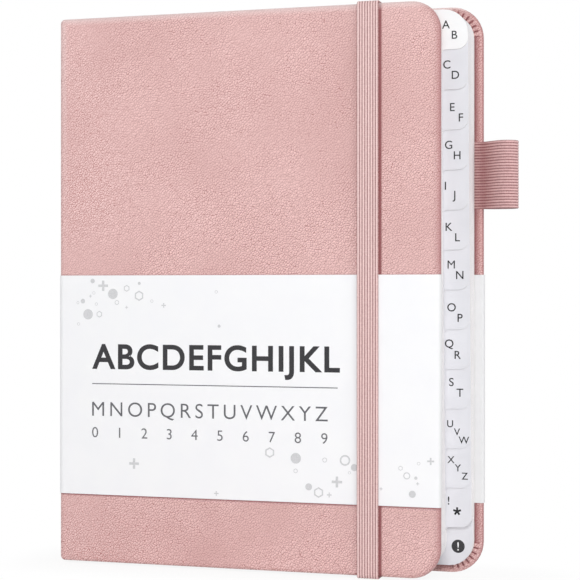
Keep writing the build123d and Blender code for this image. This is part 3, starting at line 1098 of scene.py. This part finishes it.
def band_section(bm, width, thickness, ribs, groove, matrix):
    """Cross section of a woven band, with rounded ribs from edge to edge."""
    crest = bm.verts.layers.float.new("crest")
    draw = random.Random(ribs)
    levels = [1 - draw.uniform(0, rib_unevenness) for k in range(ribs)]
    columns = segments_per_rib * ribs
    bmesh.ops.create_grid(bm, x_segments=columns, y_segments=1, size=0.5)
    for vert in bm.verts:
        across = (vert.co.x + 0.5) * width
        # crest is the rib's height; it lightens the ribs and paints shade in the grooves and at the band's
        # edges
        vert[crest] = rib_lobe(across, width, ribs, levels)
        height = thickness * (groove + (1 - groove) * vert[crest])
        vert.co = (across - width / 2, vert.co.y * height, 0)
    bmesh.ops.transform(bm, matrix=matrix, verts=list(bm.verts))
    return list(bm.faces)


def build_closure():
    """Elastic band from the rear cover's upper slot over the head and the front to the lower slot."""
    half = band_thickness / 2
    near_y, far_y = band_low.y + half, band_high.y - half
    low_z, high_z = band_foot_z + half, band_high.z - half
    start_y = rear_y - slot_depth + band_overlap
    start = Vector(((band_low.x + band_high.x) / 2, start_y, high_slot))
    bm = bmesh.new()
    upright = Matrix.Translation(start) @ face_front
    faces = band_section(bm, band_high.x - band_low.x, band_thickness, band_ribs, band_groove, upright)
    across = far_y - near_y - 2 * band_corner
    entry = far_y - band_bend - start_y
    legs = (
        (entry, band_bend, 90),
        (high_z - band_corner - high_slot - band_bend, band_corner, 90),
        (across, band_corner, 90),
        (high_z - low_z - 2 * band_corner, band_corner, 90),
        (across, band_corner, 90),
        (low_slot - band_bend - low_z - band_corner, band_bend, 90),
        (entry, 0, 0),
    )
    sweep(bm, faces, start, (0, 1, 0), (1, 0, 0), legs)
    piece = finish_piece(bm, "closure_band", band_elastic, sharp_degrees=75)
    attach(piece, "rear_cover")
    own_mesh(piece)
    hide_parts("closure_elastic", "closure_foot")


def s_bend(rise, degrees, radius):
    """Slope's length and the whole run of two bends that climb by a rise."""
    angle = math.radians(degrees)
    slope = (rise - 2 * radius * (1 - math.cos(angle))) / math.sin(angle)
    return slope, 2 * radius * math.sin(angle) + slope * math.cos(angle)


def build_pen_loop():
    """Webbing from the rear cover's inner face, round in a bow for the pen and back into the cover."""
    edge_x = rear_high.x
    near_y = rear_low.y - webbing_proud + webbing / 2
    far_y = rear_low.y + loop_depth
    bow_radius = (loop_high.y - loop_low.y - webbing) / 2
    bow_x = loop_high.x - webbing / 2 - bow_radius
    bow_near_y, bow_far_y = loop_low.y + webbing / 2, loop_high.y - webbing / 2
    start_x = edge_x - loop_tail
    neck_x = edge_x - loop_neck
    start = Vector((start_x, near_y, (loop_low.z + loop_high.z) / 2))
    near_slope, near_run = s_bend(near_y - bow_near_y, near_bend, near_radius)
    far_slope, far_run = s_bend(bow_far_y - far_y, far_bend, far_radius)
    legs = (
        (neck_x - start_x, near_radius, -near_bend),
        (near_slope, near_radius, near_bend),
        (bow_x - neck_x - near_run, bow_radius, 180),
        (bow_x - neck_x - far_run, far_radius, far_bend),
        (far_slope, far_radius, -far_bend),
        (neck_x - start_x, 0, 0),
    )
    bm = bmesh.new()
    width = loop_high.z - loop_low.z
    place = Matrix.Translation(start) @ Matrix.Rotation(-math.pi / 2, 4, "Y")
    faces = band_section(bm, width, webbing, loop_ribs, webbing_groove, place)
    sweep(bm, faces, start, (1, 0, 0), (0, 0, 1), legs)
    # Painted shade in the webbing's crease at the cover's edge
    painted_shade = bm.verts.layers.float.new("painted_shade")
    for vert in bm.verts:
        vert[painted_shade] = crease_darkness * math.exp(-(((vert.co.x - edge_x) / crease_width) ** 2))
    piece = finish_piece(bm, "pen_loop_webbing", loop_webbing, sharp_degrees=75)
    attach(piece, "rear_cover")
    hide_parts("pen_loop")


build_closure()
build_pen_loop()

# Finishes of the CAD nodes that stay
for material, names in (
    (grey_board, ("front_board", "rear_board", "spine_board")),
    (end_paper, ("front_endpaper", "rear_endpaper", "rear_flyleaf")),
    (lining_gauze, ("spine_lining",)),
):
    for name in names:
        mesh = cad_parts[name].data
        mesh.materials.clear()
        mesh.materials.append(material)

# Studio, in metres: pale floor that fades to white, soft lamps with their powers in watts, level camera
floor_half = 3.0
floor_grey = (0.9, 0.9, 0.9, 1)
fade_end = 0.03
contact_white = 0.9
world_colour = (0.98, 0.99, 1.0, 1)
world_level = 0.46
lamp_aim = Vector((0, 0, 0.105))
lamps = (
    ("key", (0.13, -1.36, 0.6), 0.5, 7.3),
    ("fill", (2.0, -0.6, 0.4), 1.4, 19.0),
    ("back", (-0.3, 1.3, 0.75), 0.8, 5.0),
)
camera_azimuth = math.radians(16.545)
camera_target = Vector((2.62, 0, 105.744)) * MM
camera_distance = 593.5 * MM
camera_lens = 97.482
camera_sensor = 36


def camera_white(tree):
    """1 for rays that show the background itself, 0 for rays that light the object."""
    path = add_node(tree, "LightPath").outputs
    shown = math_node(tree, "MAXIMUM", path["Is Camera Ray"], path["Is Glossy Ray"])
    return math_node(tree, "MAXIMUM", shown, path["Is Transmission Ray"])


def build_floor():
    bm = bmesh.new()
    bmesh.ops.create_grid(bm, x_segments=1, y_segments=1, size=floor_half)
    mesh = bpy.data.meshes.new("floor")
    bm.to_mesh(mesh)
    bm.free()
    material, tree, shader = new_material("pale_floor", 0.9, 0.1)
    shader.inputs["Base Color"].default_value = floor_grey
    both_sides = vector_node(tree, "ABSOLUTE", object_place(tree))
    past = vector_node(tree, "SUBTRACT", both_sides, (cad_high.x, cad_high.y, 0))
    outside = vector_node(tree, "MAXIMUM", past)
    away = add_node(tree, "VectorMath", {"operation": "LENGTH"}, {0: outside}).outputs["Value"]
    smooth = {"interpolation_type": "SMOOTHSTEP"}
    reach = {"Value": away, "From Max": fade_end, "To Min": contact_white}
    fade = add_node(tree, "MapRange", smooth, reach).outputs["Result"]
    white = add_node(tree, "Emission", {}, {"Color": (1, 1, 1, 1), "Strength": 1.0})
    share = math_node(tree, "MULTIPLY", fade, camera_white(tree))
    mixed = add_node(tree, "MixShader", {}, {0: share, 1: shader.outputs[0], 2: white.outputs[0]})
    tree.links.new(mixed.outputs[0], tree.nodes["Material Output"].inputs["Surface"])
    mesh.materials.append(material)
    add_object("floor", mesh)


def build_world():
    world = bpy.data.worlds.new("studio")
    world.use_nodes = True
    tree = world.node_tree
    light = tree.nodes["Background"]
    light.inputs["Color"].default_value = world_colour
    light.inputs["Strength"].default_value = world_level
    white = add_node(tree, "Background", {}, {"Color": (1, 1, 1, 1), "Strength": 1.0})
    ends = {0: camera_white(tree), 1: light.outputs[0], 2: white.outputs[0]}
    mixed = add_node(tree, "MixShader", {}, ends)
    tree.links.new(mixed.outputs[0], tree.nodes["World Output"].inputs["Surface"])
    bpy.context.scene.world = world


def aim(holder, place, heading):
    """Put a lamp or camera at a place, to look along a heading."""
    holder.location = place
    holder.rotation_euler = heading.to_track_quat("-Z", "Y").to_euler()


def add_lamp(name, place, size, power):
    lamp = bpy.data.lights.new(name, "AREA")
    lamp.shape = "DISK"
    lamp.size = size
    lamp.energy = power
    aim(add_object(name, lamp), place, lamp_aim - Vector(place))


def build_camera():
    back = Vector((math.sin(camera_azimuth), -math.cos(camera_azimuth), 0))
    lens = bpy.data.cameras.new("camera")
    lens.lens = camera_lens
    lens.sensor_width = camera_sensor
    holder = add_object("camera", lens)
    aim(holder, camera_target + back * camera_distance, -back)
    bpy.context.scene.camera = holder


build_floor()
build_world()
for name, place, size, power in lamps:
    add_lamp(name, place, size, power)
build_camera()
bpy.context.scene.view_settings.view_transform = "Standard"
